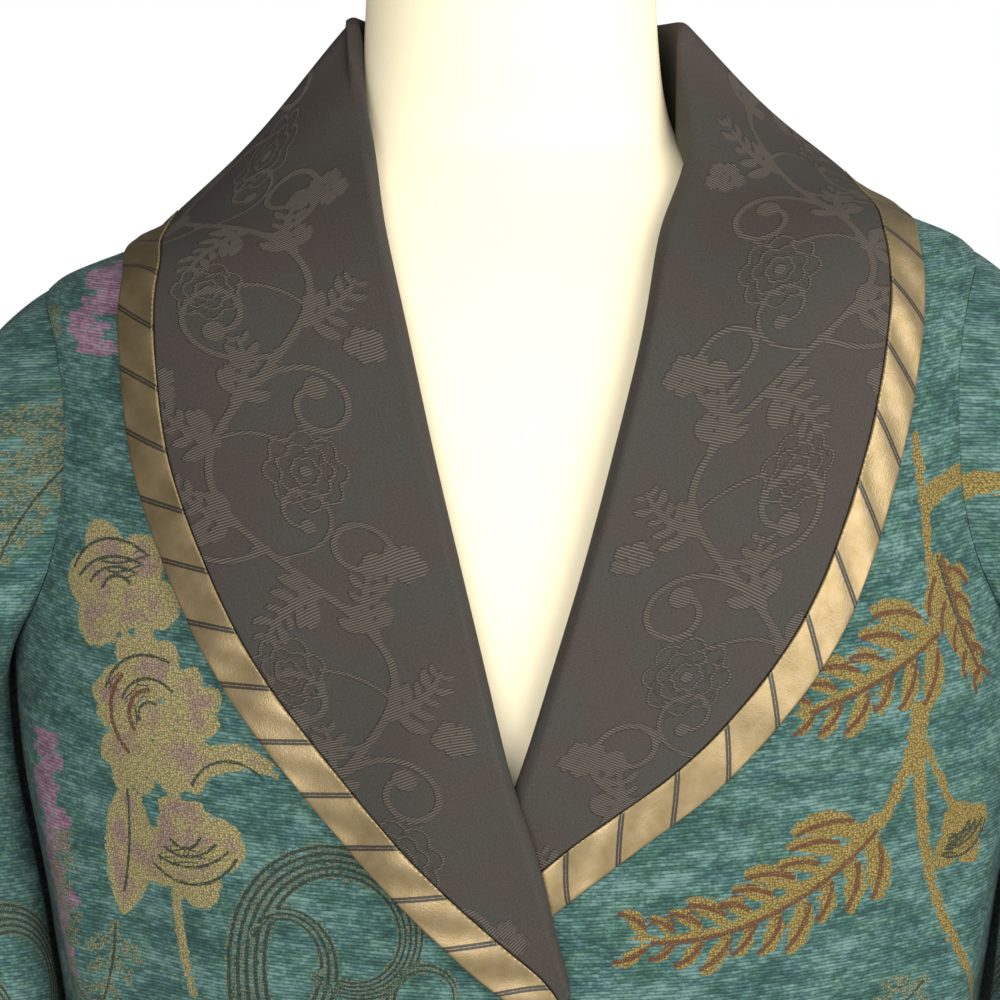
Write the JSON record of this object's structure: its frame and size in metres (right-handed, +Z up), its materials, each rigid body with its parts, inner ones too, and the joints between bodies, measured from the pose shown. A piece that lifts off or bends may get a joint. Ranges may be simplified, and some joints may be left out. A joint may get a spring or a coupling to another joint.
{
  "type": "blazer on a limbless dress form",
  "caption": "Hip-length woven tapestry blazer with a wide dark shawl collar, striped gold binding and long sleeves, standing on a limbless table-top dress form.",
  "frame": {"origin": "on the surface the form's foot stands on, under the middle of the pole", "axes": "+Z up, -Y out of the blazer's front, +X to the wearer's left"},
  "size_m": [0.608, 0.3038, 0.946],
  "materials": {
    "tapestry": "teal chenille tapestry with woven gold, olive, purple and dark flowers and leaves",
    "damask": "charcoal tone-on-tone damask with a vine pattern",
    "gold_stripe": "old-gold taffeta cut on the bias, with dark double stripes",
    "horn": "dark polished horn look",
    "jersey": "cream knitted jersey over a smooth form",
    "steel": "brushed steel"
  },
  "bodies": {
    "root": {"front_right": "tapestry", "front_left": "tapestry", "back": "tapestry", "sleeve_right": "tapestry", "sleeve_left": "tapestry", "collar_right": "damask", "collar_left": "damask", "binding_right": "gold_stripe", "binding_left": "gold_stripe", "button": "horn", "form_body": "jersey", "form_pole": "steel", "form_foot": "steel"}
  },
  "joints": []
}
